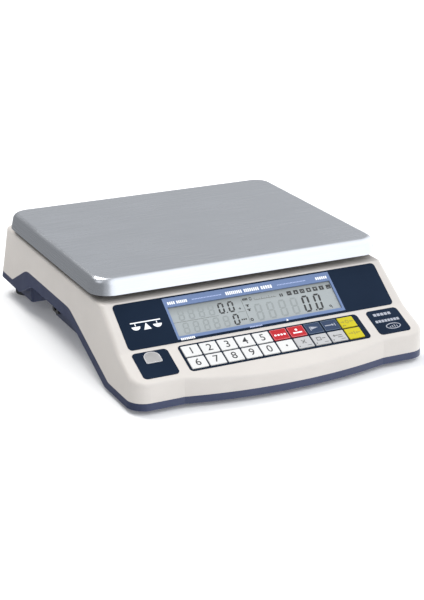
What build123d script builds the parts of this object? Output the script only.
"""Bench counting scale: a weighing platter over a low housing with a sloping console.

Frame: millimetres, +Z up, +Y towards the back, origin on the bench under the middle of the scale.
"""
from build123d import *
from math import atan2, cos, degrees, radians, sin
import os

os.makedirs("parts", exist_ok=True)

# Platter and the gear that carries it
PLATTER_X, PLATTER_Y = 300.0, 241.6
PLATTER_RISE = 15.0
PLATTER_SHEET = 1.2
PLATTER_CORNER = 20.0
SKIRT_FLARE = 11.0
SHOULDER_RADIUS = 6.5
SKIRT_Z = 81.5
PLATTER_MID_Y = 32.5
SPIDER_Z = 83.5
SPIDER_THICK = 5.0
ARM_THICK = 8.0
ARM_WIDTH = 18.0
PAD_X, PAD_Y = 112.0, 84.0
PAD_RADIUS = 9.0

# Load cell, a single point beam along Y
CELL_X, CELL_Y, CELL_Z = 30.0, 130.0, 22.0
CELL_BASE_Z = 46.0
CELL_BORE_RADIUS = 7.0
CELL_SCREW_PITCH = 15.0
M6_RADIUS, M6_HEAD_RADIUS, M6_HEAD = 3.0, 5.5, 3.3

# Housing
WALL = 2.5
DECK_Z = 75.5
HALF_DEPTH = 184.3
DECK_HALF_X, BASE_HALF_X = 147.0, 151.5
DECK_CORNER, BASE_CORNER = 13.0, 17.0
FRONT_Y = -172.0
BULGE_RADIUS = 430.0
CREASE_RADIUS = 4.0
DECK_RADIUS = 2.5
FLOOR_Z = 4.0
ARCH_Z = 36.0
REAR_FLOOR_Z = 19.0
REAR_LEAN = 0.27
BAND = 7.0
ARCH_BAND = 12.0
REAR_BAND = 6.5

# Console, two faces that slope down to the front: the display on the steep one, the keys below it
CONSOLE_TOP_Y, CONSOLE_TOP_Z = -93.1, 74.3
DISPLAY_ANGLE, KEY_ANGLE = 36.95, 22.9
CREASE_V = 50.4
VALLEY_RADIUS = 10.0

# Tub and feet under the housing
TUB_HALF_X = 128.0
TUB_FRONT_Y, TUB_REAR_Y = -112.0, 79.0
TUB_Z = 6.0
FRONT_FOOT_X, FOOT_FRONT_Y = 118.0, -135.0
REAR_FOOT_X, FOOT_REAR_Y = 126.0, 164.0
FOOT_RADIUS, FOOT_HEIGHT = 12.0, 8.0
STUD_RADIUS, STUD_TOP = 4.0, 18.0
RUNNING = 0.05

# Console furniture, all in console coordinates: x across, v down both slopes, n outwards
PANEL_RECESS = 0.8
PANEL_PROUD = 0.3
DISPLAY_X, DISPLAY_V, DISPLAY_MID_V = 274.7, 48.6, 24.3
FRAME_X, FRAME_V, FRAME_MID_X, FRAME_MID_V = 174.0, 44.4, -1.9, 23.9
GLASS_X, GLASS_V, GLASS_MID_V = 169.6, 31.4, 27.1
KEY_PITCH_X, KEY_PITCH_V, KEY_WEB, KEY_GAP = 17.9, 14.9, 1.2, 0.25
GRID_MID_X = -2.0
KEYPAD_MID_X, KEYPAD_MID_V = 0.0, 68.9
KEYPAD_X, KEYPAD_V = 186.0, 32.6
KEY_TOP, KEY_FOOT = 1.1, -3.5
SIDE_PANEL_X, SIDE_PANEL_V = 34.4, 32.0
LEVEL_MID_X, ACCURACY_MID_X, SIDE_PANEL_MID_V = -120.2, 120.2, 68.6
LENS_X, LENS_V, LENS_MID_X, LENS_MID_V = 15.4, 13.2, -120.2, 60.6
BOARD_N = -8.4
BOARD_THICK = 1.6
BOARD_HALF_X = 107.0
DISPLAY_BOARD_V, KEY_BOARD_V = 44.0, 31.0

KEY_ROWS = (
    ("1", "2", "3", "4", "5", "sample", "unit_weight", "preset", "pre_tare", "zero"),
    ("6", "7", "8", "9", "0", "point", "clear", "memory", "recall", "tare"),
)

DISPLAY_FACE = Plane(
    origin=(0, CONSOLE_TOP_Y, CONSOLE_TOP_Z),
    x_dir=(1, 0, 0),
    z_dir=(0, -sin(radians(DISPLAY_ANGLE)), cos(radians(DISPLAY_ANGLE))),
)
KEY_FACE = Plane(
    origin=DISPLAY_FACE.from_local_coords((0, -CREASE_V, 0)),
    x_dir=(1, 0, 0),
    z_dir=(0, -sin(radians(KEY_ANGLE)), cos(radians(KEY_ANGLE))),
)


def on_console(x, v, n=0.0):
    """Plane parallel to a console face, x across, v down the slopes, n above the surface."""
    if v < CREASE_V:
        face, down = DISPLAY_FACE, v
    else:
        face, down = KEY_FACE, v - CREASE_V
    return Plane(face.from_local_coords((x, -down, n)), x_dir=face.x_dir, z_dir=face.z_dir)


def save(part, name):
    part.label = name
    export_step(part, f"parts/{name}.step")


def plate(width, height, corner, plane, thick):
    """Rounded plate that stands on the given plane."""
    with BuildPart() as piece:
        with BuildSketch(plane):
            RectangleRounded(width, height, corner)
        extrude(amount=thick)
    return piece.part


# ---------------------------------------------------------------- housing form
def outline(z, inset):
    """Half width, front, rear and corner radius of the housing at height z."""
    rise = z / DECK_Z
    half_x = BASE_HALF_X + (DECK_HALF_X - BASE_HALF_X) * rise - inset
    rear = HALF_DEPTH + REAR_LEAN * (REAR_FLOOR_Z - z) - inset
    return half_x, FRONT_Y + inset, rear, BASE_CORNER + (DECK_CORNER - BASE_CORNER) * rise - inset


def above_console(inset):
    """Solid above the two console faces, moved inwards by inset."""
    normals = DISPLAY_FACE.z_dir + KEY_FACE.z_dir
    crease = KEY_FACE.origin - normals * (inset / (1 + DISPLAY_FACE.z_dir.dot(KEY_FACE.z_dir)))
    top = on_console(0, -40, -inset).origin
    front = on_console(0, CREASE_V + 80, -inset).origin
    with BuildPart() as solid:
        with BuildSketch(Plane.YZ.offset(-200)):
            with BuildLine():
                FilletPolyline(
                    (top.Y, 200),
                    (top.Y, top.Z),
                    (crease.Y, crease.Z),
                    (front.Y, front.Z),
                    (front.Y, 200),
                    radius=(0.1, VALLEY_RADIUS, 0.1),
                )
                Line((front.Y, 200), (top.Y, 200))
            make_face()
        extrude(amount=400)
    return solid.part


def envelope(inset):
    """Closed outer form of the housing, moved inwards by inset on every side but the floor."""
    with BuildPart() as form:
        for z in (0.0, DECK_Z - inset):
            half_x, front, rear, corner = outline(z, inset)
            with BuildSketch(Plane.XY.offset(z)):
                with Locations((0, (front + rear) / 2)):
                    RectangleRounded(2 * half_x, rear - front, corner)
        loft(ruled=True)
        with BuildSketch(Plane.XY):
            with Locations((0, BULGE_RADIUS - HALF_DEPTH)):
                Circle(BULGE_RADIUS - inset)
            with Locations((0, FRONT_Y)):
                Rectangle(2 * DECK_HALF_X - 2 * BASE_CORNER, 40, mode=Mode.INTERSECT)
        extrude(amount=DECK_Z / 2)
        add(above_console(inset), mode=Mode.SUBTRACT)
        if inset == 0:
            slopes = form.faces().filter_by(lambda face: 0.7 < face.normal_at().Z < 0.95)
            rim = slopes.edges().filter_by(lambda edge: edge.center().Z < DECK_Z - 0.5)
            valley_y = KEY_FACE.origin.Y
            fillet(
                rim.filter_by(lambda edge: edge.length < 200 or abs(edge.center().Y - valley_y) > 5),
                radius=CREASE_RADIUS,
            )
            fillet(form.faces().sort_by(Axis.Z)[-1].edges(), radius=DECK_RADIUS)
    return form.part


def below(lift_front, lift_arch, lift_rear):
    """Solid under the side profile: low at the front, up over the hand arch, low at the back."""
    front_z = FLOOR_Z + lift_front
    arch_z = ARCH_Z + lift_arch
    rear_z = REAR_FLOOR_Z + lift_rear
    rise_y = -107 - 1.14 * lift_front
    with BuildPart() as solid:
        with BuildSketch(Plane.YZ.offset(-200)):
            with BuildLine():
                FilletPolyline(
                    (-230, -20),
                    (-230, front_z),
                    (rise_y, front_z),
                    (rise_y + (arch_z - front_z) / 0.38, arch_z),
                    (84 + 2.4 * lift_rear, arch_z),
                    (118 + 3.4 * lift_rear, rear_z),
                    (230, rear_z),
                    (230, -20),
                    radius=(0.1, 14, 40, 36, 6, 0.1),
                )
                Line((230, -20), (-230, -20))
            make_face()
        extrude(amount=400)
    return solid.part


outer = envelope(0)
inner = envelope(WALL)
under_seam = below(BAND, ARCH_BAND, REAR_BAND)
under_edge = below(0, 0, 0)
under_floor = below(WALL, WALL, WALL)

# ---------------------------------------------------------------- upper housing
COLUMNS = ((-138.5, -127), (138.5, -127), (-136, 30), (136, 30), (-75, 150), (75, 150))
COLUMN_RADIUS = 4.5
PILOT_RADIUS = 1.25
DISPLAY_BOARD_POSTS = ((-100, 6), (100, 6), (-100, 43), (100, 43))
KEY_BOARD_POSTS = ((-100, 57), (100, 57), (-100, 80), (100, 80))
BOARD_POSTS = DISPLAY_BOARD_POSTS + KEY_BOARD_POSTS
VIAL_X, VIAL_Y, VIAL_Z = -120.2, -142.5, 24.0
VIAL_RADIUS, VIAL_HEIGHT = 6.0, 7.0
STOP_X, STOP_FRONT_Y, STOP_REAR_Y = 31.0, -22.0, 64.0
STOP_RADIUS = 4.0

with BuildPart() as columns:
    with BuildSketch(Plane.XY):
        with Locations(*COLUMNS):
            Circle(COLUMN_RADIUS)
    extrude(amount=DECK_Z)
column_solids = (columns.part & outer) - under_floor

with BuildPart() as cup:
    with BuildSketch(Plane.XY.offset(VIAL_Z - 2)):
        with Locations((VIAL_X, VIAL_Y)):
            Circle(VIAL_RADIUS + 2.2)
    extrude(amount=40)
cup_solid = cup.part & outer

with BuildPart() as upper_housing:
    add(outer)
    add(inner, mode=Mode.SUBTRACT)
    add(under_seam, mode=Mode.SUBTRACT)
    add(column_solids)
    add(cup_solid)
    # post for each corner of the console boards
    for x, v in BOARD_POSTS:
        with BuildSketch(on_console(x, v, BOARD_N)):
            Circle(3.2)
        extrude(amount=-BOARD_N - WALL + 0.5)
    # recesses of the flush panels
    for x, v, width, height in (
        (0, DISPLAY_MID_V, DISPLAY_X, DISPLAY_V),
        (KEYPAD_MID_X, KEYPAD_MID_V, KEYPAD_X, KEYPAD_V),
        (LEVEL_MID_X, SIDE_PANEL_MID_V, SIDE_PANEL_X, SIDE_PANEL_V),
        (ACCURACY_MID_X, SIDE_PANEL_MID_V, SIDE_PANEL_X, SIDE_PANEL_V),
    ):
        with BuildSketch(on_console(x, v, -PANEL_RECESS)):
            RectangleRounded(width + 0.2, height + 0.2, 4.1)
        extrude(amount=5, mode=Mode.SUBTRACT)
    # windows through the console for the display and the key grid
    with BuildSketch(on_console(FRAME_MID_X, GLASS_MID_V)):
        Rectangle(GLASS_X + 2, GLASS_V + 2)
    extrude(amount=-6, mode=Mode.SUBTRACT)
    with BuildSketch(on_console(GRID_MID_X, KEYPAD_MID_V)):
        Rectangle(10 * KEY_PITCH_X + 1.8, 2 * KEY_PITCH_V + 0.4)
    extrude(amount=-6, mode=Mode.SUBTRACT)
    # well of the spirit level
    with BuildSketch(Plane.XY.offset(VIAL_Z)):
        with Locations((VIAL_X, VIAL_Y)):
            Circle(VIAL_RADIUS + 0.2)
    extrude(amount=40, mode=Mode.SUBTRACT)
    # deck openings for the load cell spacer and the overload stops
    with BuildSketch(Plane.XY.offset(DECK_Z + 1)):
        with Locations((0, PLATTER_MID_Y - CELL_Y / 2 + 14)):
            RectangleRounded(CELL_X + 14, 44, 4)
        with Locations(*[(sx * STOP_X, y) for sx in (-1, 1) for y in (STOP_FRONT_Y, STOP_REAR_Y)]):
            Circle(STOP_RADIUS + 2)
    extrude(amount=-8, mode=Mode.SUBTRACT)
    # pilot holes in the columns
    for x, y in COLUMNS:
        with BuildSketch(Plane.XY):
            with Locations((x, y)):
                Circle(PILOT_RADIUS + 0.3)
        extrude(amount=52 if y > 0 else 24, mode=Mode.SUBTRACT)
    for x, v in BOARD_POSTS:
        with BuildSketch(on_console(x, v, BOARD_N)):
            Circle(PILOT_RADIUS)
        extrude(amount=5, mode=Mode.SUBTRACT)
save(upper_housing.part, "upper_housing")

# ---------------------------------------------------------------- lower housing
FEET = [
    (sx * x, y) for x, y in ((FRONT_FOOT_X, FOOT_FRONT_Y), (REAR_FOOT_X, FOOT_REAR_Y)) for sx in (-1, 1)
]
FOOT_BOSS_RADIUS = 8.0
FOOT_BOSS_TOP = 21.0
POCKET_TOP = 9.6
FOOT_BLOCK_X, FOOT_BLOCK_Y, FOOT_BLOCK_Z = 46.0, 38.0, 10.0
FOOT_BLOCK_MID_X, FOOT_BLOCK_MID_Y = 118.0, 126.0
SWITCH_Y, SWITCH_Z, SWITCH_LONG, SWITCH_TALL = 22.0, 23.0, 21.0, 15.0
INLET_Y, INLET_Z, INLET_LONG, INLET_TALL = 68.0, 17.0, 15.0, 12.0
BATTERY_X, BATTERY_Y, BATTERY_Z = 70.0, 101.0, 47.0
BATTERY_MID_X, BATTERY_MID_Y = 75.0, 20.0
DOOR_LIP = 6.0
MAIN_X, MAIN_Y, MAIN_MID_X, MAIN_MID_Y, MAIN_Z = 74.0, 104.0, -78.0, 10.0, 18.0
MAIN_POSTS = [(MAIN_MID_X + sx * 32, MAIN_MID_Y + sy * 47) for sx in (-1, 1) for sy in (-1, 1)]
DOOR_SCREWS = [
    (BATTERY_MID_X + sx * (BATTERY_X / 2 + 3.5), BATTERY_MID_Y + sy * (BATTERY_Y / 2 + 3.5))
    for sx in (-1, 1)
    for sy in (-1, 1)
]
CELL_REAR_Y = PLATTER_MID_Y + CELL_Y / 2
CELL_FRONT_Y = PLATTER_MID_Y - CELL_Y / 2
CELL_FIXED_SCREWS = [(0, CELL_REAR_Y - 6.5 - CELL_SCREW_PITCH * i) for i in (0, 1)]
CELL_LIVE_SCREWS = [(0, CELL_FRONT_Y + 6.5 + CELL_SCREW_PITCH * i) for i in (0, 1)]

shell = ((outer & under_seam) - under_edge) - (inner - under_floor)

# blocks under the rear floor, in front of the rear feet
with BuildPart() as rear_blocks:
    with BuildSketch(Plane.XY.offset(FOOT_BLOCK_Z)):
        with Locations(*[(sx * FOOT_BLOCK_MID_X, FOOT_BLOCK_MID_Y) for sx in (-1, 1)]):
            RectangleRounded(FOOT_BLOCK_X, FOOT_BLOCK_Y, 3)
    extrude(amount=ARCH_Z - FOOT_BLOCK_Z)
rear_block_solids = rear_blocks.part & under_floor

with BuildPart() as lower_housing:
    add(shell)
    add(rear_block_solids)
    # tub that holds the electronics, open to the inside
    with BuildSketch(Plane.XY.offset(TUB_Z)):
        with Locations((0, (TUB_FRONT_Y + TUB_REAR_Y) / 2)):
            RectangleRounded(2 * TUB_HALF_X, TUB_REAR_Y - TUB_FRONT_Y, 6)
    extrude(amount=ARCH_Z + 1 - TUB_Z)
    with BuildSketch(Plane.XY.offset(TUB_Z + WALL)):
        with Locations((0, (TUB_FRONT_Y + TUB_REAR_Y) / 2)):
            RectangleRounded(2 * (TUB_HALF_X - WALL), TUB_REAR_Y - TUB_FRONT_Y - 2 * WALL, 4)
    extrude(amount=ARCH_Z, mode=Mode.SUBTRACT)
    # threaded bosses of the feet
    with BuildSketch(Plane.XY.offset(FLOOR_Z)):
        with Locations(*FEET[:2]):
            Circle(FOOT_RADIUS + 4)
    extrude(amount=POCKET_TOP + 2 - FLOOR_Z)
    with BuildSketch(Plane.XY.offset(POCKET_TOP)):
        with Locations(*FEET[:2]):
            Circle(FOOT_BOSS_RADIUS)
    extrude(amount=FOOT_BOSS_TOP - POCKET_TOP)
    with BuildSketch(Plane.XY.offset(POCKET_TOP)):
        with Locations(*FEET[2:]):
            Circle(FOOT_RADIUS + 0.5)
    extrude(amount=REAR_FLOOR_Z + 1 - POCKET_TOP)
    with BuildSketch(Plane.XY):
        with Locations(*FEET):
            Circle(FOOT_RADIUS + 1.5)
    extrude(amount=POCKET_TOP, mode=Mode.SUBTRACT)
    with BuildSketch(Plane.XY):
        with Locations(*FEET):
            Circle(STUD_RADIUS + RUNNING)
    extrude(amount=STUD_TOP + 1.5, mode=Mode.SUBTRACT)
    # seat of the load cell
    with BuildSketch(Plane.XY.offset(ARCH_Z - 5)):
        with Locations((0, CELL_REAR_Y - 15)):
            RectangleRounded(50, 42, 4)
    extrude(amount=5 + WALL)
    # posts of the main board and of the overload stops
    with BuildSketch(Plane.XY.offset(TUB_Z + 1)):
        with Locations(*MAIN_POSTS):
            Circle(3.5)
    extrude(amount=MAIN_Z - TUB_Z - 1)
    with BuildSketch(Plane.XY.offset(TUB_Z + 1)):
        with Locations(*[(sx * STOP_X, y) for sx in (-1, 1) for y in (STOP_FRONT_Y, STOP_REAR_Y)]):
            Circle(STOP_RADIUS + 3)
    extrude(amount=24)
    # holes: battery opening, screws, switch and inlet
    with BuildSketch(Plane.XY):
        with Locations((BATTERY_MID_X, BATTERY_MID_Y)):
            Rectangle(BATTERY_X + 1, BATTERY_Y + 1)
        with Locations(*DOOR_SCREWS):
            Circle(PILOT_RADIUS + 0.3)
        with Locations(*COLUMNS[:2]):
            Circle(PILOT_RADIUS + 0.3)
    extrude(amount=TUB_Z + WALL + 1, mode=Mode.SUBTRACT)
    with BuildSketch(Plane.XY.offset(REAR_FLOOR_Z - 2)):
        with Locations(*COLUMNS[2:]):
            Circle(PILOT_RADIUS + 0.3)
    extrude(amount=ARCH_Z, mode=Mode.SUBTRACT)
    with BuildSketch(Plane.XY.offset(ARCH_Z - 6)):
        with Locations(*CELL_FIXED_SCREWS):
            Circle(M6_RADIUS + 0.2)
    extrude(amount=20, mode=Mode.SUBTRACT)
    with BuildSketch(Plane.XY.offset(ARCH_Z - 5)):
        with Locations(*CELL_FIXED_SCREWS):
            Circle(M6_HEAD_RADIUS + 1)
    extrude(amount=-10, mode=Mode.SUBTRACT)
    with BuildSketch(Plane.YZ.offset(TUB_HALF_X - 6)):
        with Locations((SWITCH_Y, SWITCH_Z)):
            Rectangle(SWITCH_LONG - 2, SWITCH_TALL - 2)
    extrude(amount=8, mode=Mode.SUBTRACT)
    with BuildSketch(Plane.YZ.offset(-TUB_HALF_X - 2)):
        with Locations((INLET_Y, INLET_Z)):
            Rectangle(INLET_LONG - 2, INLET_TALL - 2)
    extrude(amount=8, mode=Mode.SUBTRACT)
save(lower_housing.part, "lower_housing")

# ---------------------------------------------------------------- housing screws
SCREW_HEAD_RADIUS, SCREW_HEAD, SCREW_LONG = 2.8, 1.8, 10.0


def seat_height(x, y):
    """Height of the underside of the tray at a housing column."""
    if y < 0:
        return FLOOR_Z
    return ARCH_Z if abs(x) > TUB_HALF_X else REAR_FLOOR_Z


with BuildPart() as housing_screws:
    seats = [(x, y, seat_height(x, y)) for x, y in COLUMNS] + [(x, y, TUB_Z - 2) for x, y in DOOR_SCREWS]
    for x, y, z in seats:
        with BuildSketch(Plane.XY.offset(z - SCREW_HEAD)):
            with Locations((x, y)):
                Circle(SCREW_HEAD_RADIUS)
        extrude(amount=SCREW_HEAD)
        with BuildSketch(Plane.XY.offset(z)):
            with Locations((x, y)):
                Circle(PILOT_RADIUS)
        extrude(amount=SCREW_LONG if (x, y) in COLUMNS else SCREW_LONG / 2)
save(housing_screws.part, "housing_screws")

# ---------------------------------------------------------------- platter
with BuildPart() as platter:
    with BuildSketch(Plane.XY.offset(SKIRT_Z)):
        with Locations((0, PLATTER_MID_Y)):
            RectangleRounded(PLATTER_X, PLATTER_Y, PLATTER_CORNER)
    extrude(amount=PLATTER_RISE, taper=SKIRT_FLARE)
    fillet(platter.faces().sort_by(Axis.Z)[-1].edges(), radius=SHOULDER_RADIUS)
with BuildPart() as platter_inside:
    with BuildSketch(Plane.XY.offset(SKIRT_Z)):
        with Locations((0, PLATTER_MID_Y)):
            RectangleRounded(
                PLATTER_X - 2 * PLATTER_SHEET,
                PLATTER_Y - 2 * PLATTER_SHEET,
                PLATTER_CORNER - PLATTER_SHEET,
            )
    extrude(amount=PLATTER_RISE - PLATTER_SHEET, taper=SKIRT_FLARE)
    fillet(platter_inside.faces().sort_by(Axis.Z)[-1].edges(), radius=SHOULDER_RADIUS - PLATTER_SHEET)
save(platter.part - platter_inside.part, "platter")

# ---------------------------------------------------------------- spider and load cell
ARM_ANGLE = degrees(atan2(PAD_Y, PAD_X))
ARM_LONG = 2 * (PAD_X**2 + PAD_Y**2) ** 0.5
PADS = [(sx * PAD_X, PLATTER_MID_Y + sy * PAD_Y) for sx in (-1, 1) for sy in (-1, 1)]

with BuildPart() as spider:
    with BuildSketch(Plane.XY.offset(SPIDER_Z)):
        with Locations((0, PLATTER_MID_Y)):
            RectangleRounded(96, CELL_Y + 6, 10)
        with Locations(*[(sx * 26, PLATTER_MID_Y + 2) for sx in (-1, 1)]):
            RectangleRounded(20, 40, 8, mode=Mode.SUBTRACT)
    extrude(amount=SPIDER_THICK)
    with BuildSketch(Plane.XY.offset(SPIDER_Z)):
        with Locations((0, PLATTER_MID_Y)):
            for turn in (-ARM_ANGLE, ARM_ANGLE):
                Rectangle(ARM_LONG, ARM_WIDTH, rotation=turn)
        with Locations(*PADS):
            Circle(PAD_RADIUS + 3)
        with Locations((0, CELL_FRONT_Y + 14)):
            Rectangle(40, 40, mode=Mode.SUBTRACT)
    extrude(amount=ARM_THICK)
    with BuildSketch(Plane.XY.offset(SPIDER_Z)):
        with Locations(*CELL_LIVE_SCREWS):
            Circle(M6_RADIUS + 0.2)
    extrude(amount=ARM_THICK, mode=Mode.SUBTRACT)
save(spider.part, "spider")

with BuildPart() as platter_pads:
    with BuildSketch(Plane.XY.offset(SPIDER_Z + ARM_THICK)):
        with Locations(*PADS):
            Circle(PAD_RADIUS)
    extrude(amount=SKIRT_Z + PLATTER_RISE - PLATTER_SHEET - SPIDER_Z - ARM_THICK)
save(platter_pads.part, "platter_pads")


def spacer(y, base, top):
    """Block between the load cell and what it is bolted to."""
    with BuildPart() as block:
        with BuildSketch(Plane.XY.offset(base)):
            with Locations((0, y)):
                Rectangle(CELL_X, 28)
            with Locations(*[(0, y + s * CELL_SCREW_PITCH / 2) for s in (-1, 1)]):
                Circle(M6_RADIUS + 0.2, mode=Mode.SUBTRACT)
        extrude(amount=top - base)
    return block.part


LIVE_MID_Y = CELL_LIVE_SCREWS[0][1] + CELL_SCREW_PITCH / 2
FIXED_MID_Y = CELL_FIXED_SCREWS[0][1] - CELL_SCREW_PITCH / 2
save(spacer(LIVE_MID_Y, CELL_BASE_Z + CELL_Z, SPIDER_Z), "spider_spacer")
save(spacer(FIXED_MID_Y, ARCH_Z + WALL, CELL_BASE_Z), "load_cell_spacer")

with BuildPart() as load_cell:
    with BuildSketch(Plane.XY.offset(CELL_BASE_Z)):
        with Locations((0, PLATTER_MID_Y)):
            Rectangle(CELL_X, CELL_Y)
    extrude(amount=CELL_Z)
    # two joined cross bores leave the thin bending webs
    with BuildSketch(Plane.YZ.offset(-CELL_X)):
        with Locations((PLATTER_MID_Y - 17, CELL_BASE_Z + CELL_Z / 2), (PLATTER_MID_Y + 17, CELL_BASE_Z + CELL_Z / 2)):
            Circle(CELL_BORE_RADIUS + 2)
        with Locations((PLATTER_MID_Y, CELL_BASE_Z + CELL_Z / 2)):
            Rectangle(34, CELL_BORE_RADIUS)
    extrude(amount=2 * CELL_X, mode=Mode.SUBTRACT)
    with BuildSketch(Plane.XY.offset(CELL_BASE_Z)):
        with Locations(*CELL_LIVE_SCREWS, *CELL_FIXED_SCREWS):
            Circle(M6_RADIUS + RUNNING)
    extrude(amount=CELL_Z, mode=Mode.SUBTRACT)
    chamfer(load_cell.faces().sort_by(Axis.Y)[0].edges().filter_by(Axis.Z), length=1)
save(load_cell.part, "load_cell")

with BuildPart() as gauge_cover:
    with BuildSketch(Plane.XY.offset(CELL_BASE_Z + CELL_Z)):
        with Locations((0, PLATTER_MID_Y)):
            RectangleRounded(CELL_X - 4, 52, 3)
    extrude(amount=2.5)
    fillet(gauge_cover.faces().sort_by(Axis.Z)[-1].edges(), radius=1)
save(gauge_cover.part, "gauge_cover")


def bolts(places, seat, head_up, reach):
    """M6 cap screws with the head on the seat and the shank going the other way."""
    way = 1 if head_up else -1
    with BuildPart() as group:
        with BuildSketch(Plane.XY.offset(seat)):
            with Locations(*places):
                Circle(M6_HEAD_RADIUS)
        extrude(amount=way * M6_HEAD)
        with BuildSketch(Plane.XY.offset(seat + way * M6_HEAD)):
            with Locations(*places):
                RegularPolygon(2.6, 6)
        extrude(amount=-way * 2, mode=Mode.SUBTRACT)
        with BuildSketch(Plane.XY.offset(seat)):
            with Locations(*places):
                Circle(M6_RADIUS - RUNNING / 2)
        extrude(amount=-way * reach)
    return group.part


save(bolts(CELL_LIVE_SCREWS, SPIDER_Z + SPIDER_THICK, True, 35), "spider_screws")
save(bolts(CELL_FIXED_SCREWS, ARCH_Z - 5, False, 25), "load_cell_screws")

with BuildPart() as overload_stops:
    stops = [(sx * STOP_X, y) for sx in (-1, 1) for y in (STOP_FRONT_Y, STOP_REAR_Y)]
    with BuildSketch(Plane.XY.offset(TUB_Z + 25)):
        with Locations(*stops):
            Circle(STOP_RADIUS)
    extrude(amount=SPIDER_Z - 1.2 - TUB_Z - 25)
    with BuildSketch(Plane.XY.offset(TUB_Z + 25)):
        with Locations(*stops):
            RegularPolygon(6, 6)
    extrude(amount=4)
save(overload_stops.part, "overload_stops")

# ---------------------------------------------------------------- console panels
display_plane = on_console(0, DISPLAY_MID_V, -PANEL_RECESS)
PANEL_THICK = PANEL_RECESS + PANEL_PROUD

with BuildPart() as display_panel:
    with BuildSketch(display_plane):
        RectangleRounded(DISPLAY_X, DISPLAY_V, 4)
        with Locations((FRAME_MID_X, DISPLAY_MID_V - FRAME_MID_V)):
            Rectangle(FRAME_X, FRAME_V, mode=Mode.SUBTRACT)
    extrude(amount=PANEL_THICK)
save(display_panel.part, "display_panel")

with BuildPart() as lcd_frame:
    with BuildSketch(on_console(FRAME_MID_X, FRAME_MID_V, -PANEL_RECESS)):
        Rectangle(FRAME_X, FRAME_V)
        with Locations((0, FRAME_MID_V - GLASS_MID_V)):
            Rectangle(GLASS_X, GLASS_V, mode=Mode.SUBTRACT)
    extrude(amount=PANEL_THICK)
save(lcd_frame.part, "lcd_frame")

GLASS_TOP, GLASS_THICK = -1.0, 2.4
save(
    plate(GLASS_X + 1.4, GLASS_V + 1.4, 0.5, on_console(FRAME_MID_X, GLASS_MID_V, GLASS_TOP - GLASS_THICK), GLASS_THICK),
    "lcd_glass",
)
BACKLIGHT_THICK = GLASS_TOP - GLASS_THICK - BOARD_N
save(
    plate(GLASS_X - 3, GLASS_V - 1, 1, on_console(FRAME_MID_X, GLASS_MID_V, BOARD_N), BACKLIGHT_THICK),
    "lcd_backlight",
)

with BuildPart() as console_board:
    for mid_v, height, posts in (
        (DISPLAY_MID_V, DISPLAY_BOARD_V, DISPLAY_BOARD_POSTS),
        (KEYPAD_MID_V, KEY_BOARD_V, KEY_BOARD_POSTS),
    ):
        with BuildSketch(on_console(0, mid_v, BOARD_N)):
            RectangleRounded(2 * BOARD_HALF_X, height, 2)
            with Locations(*[(x, mid_v - v) for x, v in posts]):
                Circle(PILOT_RADIUS + 0.2, mode=Mode.SUBTRACT)
        extrude(amount=-BOARD_THICK)
save(console_board.part, "console_board")

with BuildPart() as accuracy_plate:
    with BuildSketch(on_console(ACCURACY_MID_X, SIDE_PANEL_MID_V, -PANEL_RECESS)):
        RectangleRounded(SIDE_PANEL_X, SIDE_PANEL_V, 4)
    extrude(amount=PANEL_THICK)
save(accuracy_plate.part, "accuracy_plate")


def lens_outline(grow):
    """D shape: round at the top, flat at the bottom."""
    width, height = LENS_X + 2 * grow, LENS_V + 2 * grow
    with BuildSketch() as shape:
        Rectangle(width, height)
        fillet(shape.vertices().group_by(Axis.Y)[-1], radius=width * 0.44)
        fillet(shape.vertices().group_by(Axis.Y)[0], radius=1.5)
    return shape.sketch


with BuildPart() as level_panel:
    with BuildSketch(on_console(LEVEL_MID_X, SIDE_PANEL_MID_V, -PANEL_RECESS)):
        RectangleRounded(SIDE_PANEL_X, SIDE_PANEL_V, 4)
        with Locations((LENS_MID_X - LEVEL_MID_X, SIDE_PANEL_MID_V - LENS_MID_V)):
            add(lens_outline(0.1), mode=Mode.SUBTRACT)
    extrude(amount=PANEL_THICK)
save(level_panel.part, "level_panel")

with BuildPart() as level_window:
    with BuildSketch(on_console(LENS_MID_X, LENS_MID_V, -PANEL_RECESS)):
        add(lens_outline(0))
    extrude(amount=PANEL_THICK + 0.4)
save(level_window.part, "level_window")

with BuildPart() as level_vial:
    with BuildSketch(Plane.XY.offset(VIAL_Z)):
        with Locations((VIAL_X, VIAL_Y)):
            Circle(VIAL_RADIUS)
    extrude(amount=VIAL_HEIGHT)
    fillet(level_vial.faces().sort_by(Axis.Z)[-1].edges(), radius=1.5)
save(level_vial.part, "level_vial")

# ---------------------------------------------------------------- keypad
key_places = {
    name: (GRID_MID_X + (column - 4.5) * KEY_PITCH_X, KEYPAD_MID_V + (row - 0.5) * KEY_PITCH_V)
    for row, names in enumerate(KEY_ROWS)
    for column, name in enumerate(names)
}
GRID_FOOT = -2.6
KEY_FLANGE = 0.7

with BuildPart() as keypad_bezel:
    with BuildSketch(on_console(KEYPAD_MID_X, KEYPAD_MID_V, -PANEL_RECESS)):
        RectangleRounded(KEYPAD_X, KEYPAD_V, 4)
    extrude(amount=PANEL_THICK)
    with BuildSketch(on_console(GRID_MID_X, KEYPAD_MID_V, -PANEL_RECESS)):
        Rectangle(10 * KEY_PITCH_X + 1.4, 2 * KEY_PITCH_V + 0.1)
    extrude(amount=GRID_FOOT + PANEL_RECESS)
    with BuildSketch(on_console(GRID_MID_X, KEYPAD_MID_V, GRID_FOOT - 1)):
        with GridLocations(KEY_PITCH_X, KEY_PITCH_V, 10, 2):
            RectangleRounded(KEY_PITCH_X - KEY_WEB, KEY_PITCH_V - KEY_WEB, 0.8)
    extrude(amount=6, mode=Mode.SUBTRACT)
save(keypad_bezel.part, "keypad_bezel")

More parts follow.
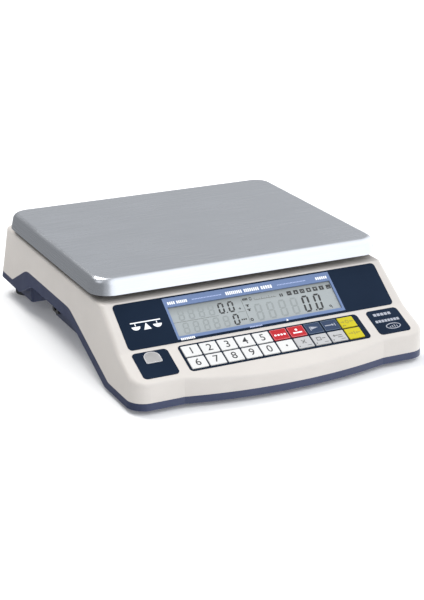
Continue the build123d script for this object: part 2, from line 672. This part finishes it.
for name, (x, v) in key_places.items():
    with BuildPart() as key:
        with BuildSketch(on_console(x, v, KEY_FOOT)):
            RectangleRounded(KEY_PITCH_X - KEY_WEB - 2 * KEY_GAP, KEY_PITCH_V - KEY_WEB - 2 * KEY_GAP, 0.6)
        extrude(amount=KEY_TOP - KEY_FOOT)
        fillet(key.faces().sort_by(Axis((0, 0, 0), KEY_FACE.z_dir))[-1].edges(), radius=0.35)
        with BuildSketch(on_console(x, v, KEY_FOOT)):
            Rectangle(KEY_PITCH_X - 0.6, KEY_PITCH_V - 0.6)
        extrude(amount=KEY_FLANGE)
    save(key.part, f"key_{name}")

MAT_SHEET = 0.9
DOME_TOP = KEY_FOOT - 0.8
with BuildPart() as keypad_mat:
    with BuildSketch(on_console(GRID_MID_X, KEYPAD_MID_V, BOARD_N)):
        RectangleRounded(10 * KEY_PITCH_X, 2 * KEY_PITCH_V, 2)
    extrude(amount=MAT_SHEET)
    with BuildSketch(on_console(GRID_MID_X, KEYPAD_MID_V, BOARD_N + MAT_SHEET)):
        with GridLocations(KEY_PITCH_X, KEY_PITCH_V, 10, 2):
            Circle(3.6)
    extrude(amount=DOME_TOP - BOARD_N - MAT_SHEET, taper=18)
save(keypad_mat.part, "keypad_mat")

# ---------------------------------------------------------------- electronics in the tub
with BuildPart() as main_board:
    with BuildSketch(Plane.XY.offset(MAIN_Z)):
        with Locations((MAIN_MID_X, MAIN_MID_Y)):
            RectangleRounded(MAIN_X, MAIN_Y, 2)
        with Locations(*MAIN_POSTS):
            Circle(PILOT_RADIUS + 0.2, mode=Mode.SUBTRACT)
    extrude(amount=BOARD_THICK)
    # transformer, capacitors and the ribbon socket
    with BuildSketch(Plane.XY.offset(MAIN_Z + BOARD_THICK)):
        with Locations((MAIN_MID_X - 12, MAIN_MID_Y + 22)):
            Rectangle(26, 30)
        with Locations((MAIN_MID_X + 20, MAIN_MID_Y + 18), (MAIN_MID_X + 20, MAIN_MID_Y + 2)):
            Circle(5.5)
        with Locations((MAIN_MID_X, MAIN_MID_Y - 38)):
            Rectangle(22, 7)
    extrude(amount=9)
save(main_board.part, "main_board")

with BuildPart() as board_screws:
    with BuildSketch(Plane.XY.offset(MAIN_Z + BOARD_THICK)):
        with Locations(*MAIN_POSTS):
            Circle(2.3)
    extrude(amount=1.6)
    for x, v in BOARD_POSTS:
        with BuildSketch(on_console(x, v, BOARD_N - BOARD_THICK)):
            Circle(2.3)
        extrude(amount=-1.6)
        with BuildSketch(on_console(x, v, BOARD_N - BOARD_THICK)):
            Circle(PILOT_RADIUS - RUNNING)
        extrude(amount=5)
save(board_screws.part, "board_screws")

with BuildPart() as battery:
    with BuildSketch(Plane.XY.offset(TUB_Z + 0.5)):
        with Locations((BATTERY_MID_X, BATTERY_MID_Y)):
            RectangleRounded(BATTERY_X, BATTERY_Y, 2)
    extrude(amount=BATTERY_Z)
    with BuildSketch(Plane.XY.offset(TUB_Z + 0.5 + BATTERY_Z)):
        with Locations(*[(BATTERY_MID_X + s * 22, BATTERY_MID_Y + 40) for s in (-1, 1)]):
            Rectangle(5, 8)
    extrude(amount=5)
save(battery.part, "battery")

save(
    plate(
        BATTERY_X + 1 + 2 * DOOR_LIP,
        BATTERY_Y + 1 + 2 * DOOR_LIP,
        5,
        Plane((BATTERY_MID_X, BATTERY_MID_Y, TUB_Z - 2)),
        2,
    )
    - housing_screws.part,
    "battery_door",
)

# ---------------------------------------------------------------- power inlet and switch
with BuildPart() as power_inlet:
    with BuildSketch(Plane.YZ.offset(-TUB_HALF_X)):
        with Locations((INLET_Y, INLET_Z)):
            RectangleRounded(INLET_LONG, INLET_TALL, 1.5)
    extrude(amount=-3)
    with BuildSketch(Plane.YZ.offset(-TUB_HALF_X)):
        with Locations((INLET_Y, INLET_Z)):
            Rectangle(INLET_LONG - 2.2, INLET_TALL - 2.2)
    extrude(amount=12)
    with BuildSketch(Plane.YZ.offset(-TUB_HALF_X - 3)):
        with Locations((INLET_Y, INLET_Z)):
            Circle(4)
    extrude(amount=12, mode=Mode.SUBTRACT)
    with BuildSketch(Plane.YZ.offset(-TUB_HALF_X + 9)):
        with Locations((INLET_Y, INLET_Z)):
            Circle(1)
    extrude(amount=-6)
save(power_inlet.part, "power_inlet")

ROCKER_LONG, ROCKER_TALL, ROCKER_TILT = 15.0, 10.0, 8.0
with BuildPart() as switch_body:
    with BuildSketch(Plane.YZ.offset(TUB_HALF_X)):
        with Locations((SWITCH_Y, SWITCH_Z)):
            RectangleRounded(SWITCH_LONG, SWITCH_TALL, 1)
    extrude(amount=2)
    with BuildSketch(Plane.YZ.offset(TUB_HALF_X)):
        with Locations((SWITCH_Y, SWITCH_Z)):
            Rectangle(SWITCH_LONG - 2.2, SWITCH_TALL - 2.2)
    extrude(amount=-12)
    with BuildSketch(Plane.YZ.offset(TUB_HALF_X + 2)):
        with Locations((SWITCH_Y, SWITCH_Z)):
            Rectangle(ROCKER_LONG + 1.4, ROCKER_TALL + 0.6)
    extrude(amount=-9, mode=Mode.SUBTRACT)
save(switch_body.part, "switch_body")

rocker_plane = Plane((TUB_HALF_X, SWITCH_Y, SWITCH_Z), x_dir=(0, 1, 0), z_dir=(0, 0, -1))
with BuildPart() as switch_rocker:
    with BuildSketch(rocker_plane.rotated((0, 0, ROCKER_TILT)).offset(-ROCKER_TALL / 2)):
        with BuildLine():
            Polyline((-ROCKER_LONG / 2, 2), (-ROCKER_LONG / 2, -3), (0, -1.6), (ROCKER_LONG / 2, -3), (ROCKER_LONG / 2, 2))
            ThreePointArc((ROCKER_LONG / 2, 2), (0, 4.5), (-ROCKER_LONG / 2, 2))
        make_face()
    extrude(amount=ROCKER_TALL)
save(switch_rocker.part, "switch_rocker")

# ---------------------------------------------------------------- ribbon cable
RIBBON_WIDE, RIBBON_THICK = 18.0, 1.0
with BuildPart() as ribbon_cable:
    with BuildLine(Plane.YZ.offset(MAIN_MID_X)) as route:
        FilletPolyline(
            (MAIN_MID_Y - 38, MAIN_Z + BOARD_THICK + 9),
            (MAIN_MID_Y - 38, 46),
            (-86, 46),
            (-98, 57.5),
            radius=6,
        )
    with BuildSketch(Plane((MAIN_MID_X, MAIN_MID_Y - 38, MAIN_Z + BOARD_THICK + 9))):
        Rectangle(RIBBON_WIDE, RIBBON_THICK)
    sweep(path=route.wires()[0])
save(ribbon_cable.part, "ribbon_cable")

# ---------------------------------------------------------------- levelling feet
for (x, y), corner in zip(FEET, ("front_left", "front_right", "rear_left", "rear_right")):
    with BuildPart() as foot_pad:
        with BuildSketch(Plane((x, y, 0))):
            Circle(FOOT_RADIUS)
        extrude(amount=FOOT_HEIGHT)
        chamfer(foot_pad.faces().sort_by(Axis.Z)[0].edges(), length=1)
        fillet(foot_pad.faces().sort_by(Axis.Z)[-1].edges(), radius=1)
        with BuildSketch(Plane((x, y, 3))):
            Circle(STUD_RADIUS + RUNNING)
        extrude(amount=FOOT_HEIGHT, mode=Mode.SUBTRACT)
    save(foot_pad.part, f"foot_pad_{corner}")
    with BuildPart() as foot_stud:
        with BuildSketch(Plane((x, y, 3.1))):
            Circle(STUD_RADIUS)
        extrude(amount=STUD_TOP - 3.1)
        with BuildSketch(Plane((x, y, FOOT_HEIGHT + 0.1))):
            RegularPolygon(7, 6)
        extrude(amount=1.2)
        chamfer(foot_stud.faces().sort_by(Axis.Z)[-1].edges(), length=0.8)
    save(foot_stud.part, f"foot_stud_{corner}")
